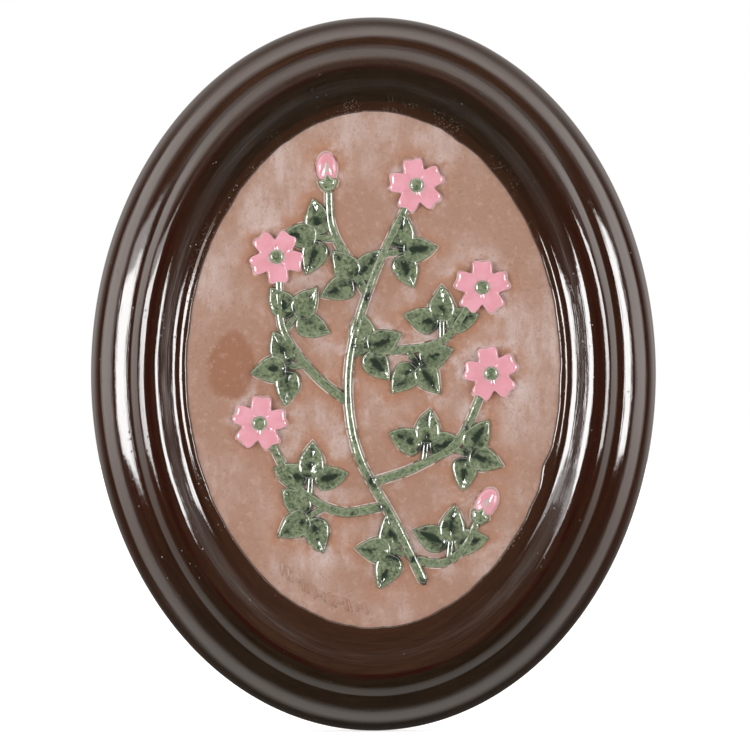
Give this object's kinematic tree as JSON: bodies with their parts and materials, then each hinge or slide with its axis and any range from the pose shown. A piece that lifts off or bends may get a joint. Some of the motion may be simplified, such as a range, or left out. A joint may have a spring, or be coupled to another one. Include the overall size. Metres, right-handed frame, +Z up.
{
  "type": "decorative wall plaque",
  "caption": "Oval ceramic wall plaque: a wide moulded frame in dark brown glaze round a recessed clay field with a flowering rose spray in coloured relief.",
  "frame": {"origin": "centre of the flat back, on the wall plane", "axes": "+Z up along the oval's long axis, +X to the right as seen from the front, +Y into the wall, so the front faces -Y"},
  "size_m": [0.1504, 0.0154, 0.19],
  "materials": {
    "brown_glaze": "gloss",
    "terracotta": "matte",
    "green_glaze": "gloss",
    "pink_glaze": "gloss"
  },
  "bodies": {
    "root": {"plaque": "brown_glaze"}
  },
  "joints": []
}
